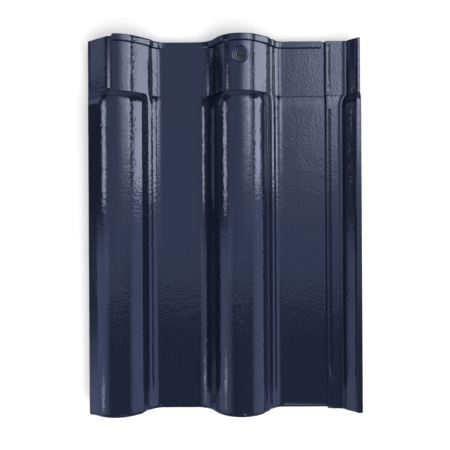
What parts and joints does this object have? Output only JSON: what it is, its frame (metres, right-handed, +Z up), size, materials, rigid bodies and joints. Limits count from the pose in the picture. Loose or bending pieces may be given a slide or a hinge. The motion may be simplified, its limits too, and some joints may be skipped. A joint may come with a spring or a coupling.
{
  "type": "interlocking roof tile",
  "caption": "Interlocking clay roof tile with rounded rolls and flat pans, side and head laps, a weather bar, hanging nibs and a nail hole, navy glazed on the weather face.",
  "frame": {"origin": "centre of the tile's outline at floor level, lying face up on its tail nose and nibs", "axes": "+X across the slope towards the under-lap edge, +Y up the slope towards the head, +Z up; the tile's own plane is pitched 0.84 degrees about X because the nibs lift the head"},
  "size_m": [0.301, 0.4106, 0.0545],
  "materials": {
    "glaze": "gloss"
  },
  "bodies": {
    "root": {"roof_tile": "glaze"}
  },
  "joints": []
}
